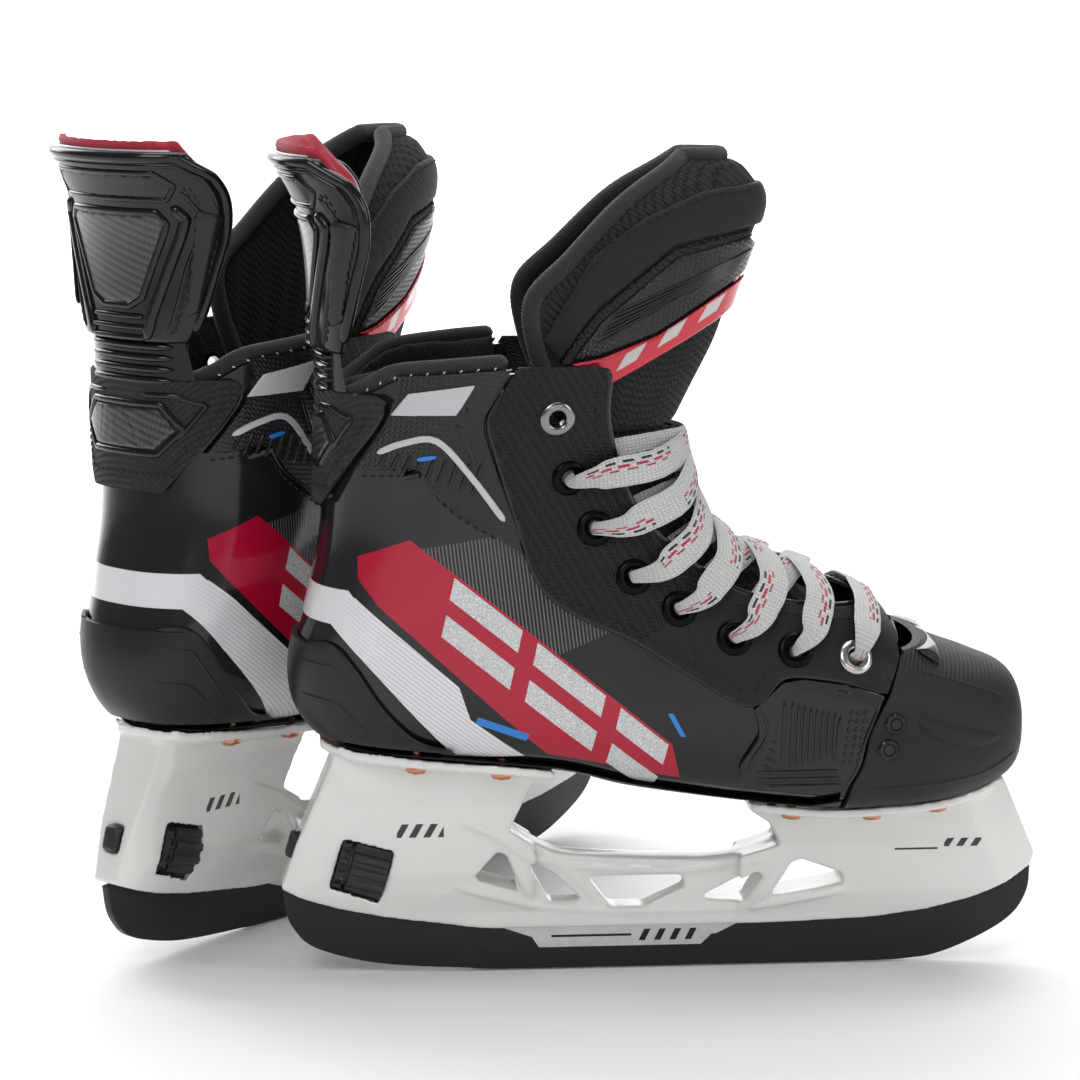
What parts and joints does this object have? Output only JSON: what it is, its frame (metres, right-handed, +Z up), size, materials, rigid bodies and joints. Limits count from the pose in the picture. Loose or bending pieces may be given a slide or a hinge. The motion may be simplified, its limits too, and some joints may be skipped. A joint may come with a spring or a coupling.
{
  "type": "ice hockey skates",
  "caption": "Pair of laced ice hockey skates with moulded boots, tendon guards, white blade holders and quick-change steel runners.",
  "frame": {"origin": "on the ice, under the middle of the right runner", "axes": "+X towards the right toe, -Y to the right skate's outer side, +Z up; the left skate stands beside and behind, its toe turned 44.5 degrees to the left"},
  "size_m": [0.3143, 0.2277, 0.264],
  "materials": {
    "shell": "gloss black moulded composite",
    "facing": "embossed matte black synthetic, stitched",
    "toe_cap": "matte charcoal moulded plastic",
    "moulding": "gloss black moulded panels and tendon guard",
    "outsole": "black composite plate",
    "holder": "white gloss nylon",
    "runner": "black-coated steel with a bright band",
    "liner": "dark brushed lining",
    "felt": "red felt over dark lining",
    "tongue": "black mesh cloth with a padded band",
    "badge": "metallic red and black moulding",
    "lace": "white flat knitted lace with red and black dashes",
    "eyelet": "black enamel eyelets, one steel and one silver",
    "rivet": "copper and dark steel rivets",
    "lock_wheel": "gloss black ribbed thumbwheel",
    "lock_steel": "plain steel"
  },
  "bodies": {
    "root": {"right_shell": "shell", "right_heel_counter": "toe_cap", "right_toe_cap": "toe_cap", "right_toe_ridge": "moulding", "right_outsole": "outsole", "right_lateral_facing": "facing", "right_medial_facing": "facing", "right_lateral_eyelets": "eyelet", "right_medial_eyelets": "eyelet", "right_lateral_collar_panel": "moulding", "right_medial_collar_panel": "moulding", "right_lateral_side_panel": "moulding", "right_medial_side_panel": "moulding", "right_liner": "liner", "right_footbed": "liner", "right_tongue_lower": "tongue", "right_guard_base": "moulding", "right_guard_flex_ribs": "moulding", "right_lace": "lace", "right_holder": "holder", "right_rear_rivets": "rivet", "right_front_rivets": "rivet", "left_shell": "shell", "left_heel_counter": "toe_cap", "left_toe_cap": "toe_cap", "left_toe_ridge": "moulding", "left_outsole": "outsole", "left_lateral_facing": "facing", "left_medial_facing": "facing", "left_lateral_eyelets": "eyelet", "left_medial_eyelets": "eyelet", "left_lateral_collar_panel": "moulding", "left_medial_collar_panel": "moulding", "left_lateral_side_panel": "moulding", "left_medial_side_panel": "moulding", "left_liner": "liner", "left_footbed": "liner", "left_tongue_lower": "tongue", "left_guard_base": "moulding", "left_guard_flex_ribs": "moulding", "left_lace": "lace", "left_holder": "holder", "left_rear_rivets": "rivet", "left_front_rivets": "rivet"},
    "right_blade_body": {"right_runner": "runner"},
    "right_lock_wheel_body": {"right_lock_wheel": "lock_wheel", "right_lock_screw": "lock_steel"},
    "right_lock_clamp_body": {"right_lock_clamp": "lock_steel"},
    "right_guard_body": {"right_guard_upper": "moulding", "right_guard_felt": "felt"},
    "right_tongue_body": {"right_tongue_upper": "tongue", "right_tongue_badge": "badge"},
    "left_blade_body": {"left_runner": "runner"},
    "left_lock_wheel_body": {"left_lock_wheel": "lock_wheel", "left_lock_screw": "lock_steel"},
    "left_lock_clamp_body": {"left_lock_clamp": "lock_steel"},
    "left_guard_body": {"left_guard_upper": "moulding", "left_guard_felt": "felt"},
    "left_tongue_body": {"left_tongue_upper": "tongue", "left_tongue_badge": "badge"}
  },
  "joints": [
    {"name": "right_blade_release", "type": "slide", "parent": "root", "child": "right_blade_body", "axis": [0, 0, -1], "range_m": [0, 0.035]},
    {"name": "right_lock_turn", "type": "hinge", "parent": "root", "child": "right_lock_wheel_body", "pos_m": [-0.095, 0, 0.0365], "axis": [0.9613, 0, -0.2756], "range_deg": [0, 720]},
    {"name": "right_lock_clamp_slide", "type": "slide", "parent": "root", "child": "right_lock_clamp_body", "axis": [-0.9613, 0, 0.2756], "range_m": [0, 0.0025]},
    {"name": "right_guard_flex", "type": "hinge", "parent": "root", "child": "right_guard_body", "pos_m": [-0.1115, 0, 0.2033], "axis": [0, -1, 0], "range_deg": [0, 16], "stiffness_Nm_per_rad": 0.8},
    {"name": "right_tongue_flex", "type": "hinge", "parent": "root", "child": "right_tongue_body", "pos_m": [0.004, 0, 0.178], "axis": [0, 1, 0], "range_deg": [0, 20], "stiffness_Nm_per_rad": 0.8},
    {"name": "left_blade_release", "type": "slide", "parent": "root", "child": "left_blade_body", "axis": [0, 0, -1], "range_m": [0, 0.035]},
    {"name": "left_lock_turn", "type": "hinge", "parent": "root", "child": "left_lock_wheel_body", "pos_m": [-0.15926, 0.02641, 0.0365], "axis": [0.6856, 0.6738, -0.2756], "range_deg": [0, 720]},
    {"name": "left_lock_clamp_slide", "type": "slide", "parent": "root", "child": "left_lock_clamp_body", "axis": [-0.6856, -0.6738, 0.2756], "range_m": [0, 0.0025]},
    {"name": "left_guard_flex", "type": "hinge", "parent": "root", "child": "left_guard_body", "pos_m": [-0.17103, 0.01485, 0.2033], "axis": [0.7009, -0.7133, 0], "range_deg": [0, 16], "stiffness_Nm_per_rad": 0.8},
    {"name": "left_tongue_flex", "type": "hinge", "parent": "root", "child": "left_tongue_body", "pos_m": [-0.08865, 0.0958, 0.178], "axis": [-0.7009, 0.7133, 0], "range_deg": [0, 20], "stiffness_Nm_per_rad": 0.8}
  ],
  "couplings": [
    {"joint": "right_lock_clamp_slide", "follows": "right_lock_turn", "m_per_rad": 0.000198},
    {"joint": "left_lock_clamp_slide", "follows": "left_lock_turn", "m_per_rad": 0.000198}
  ]
}
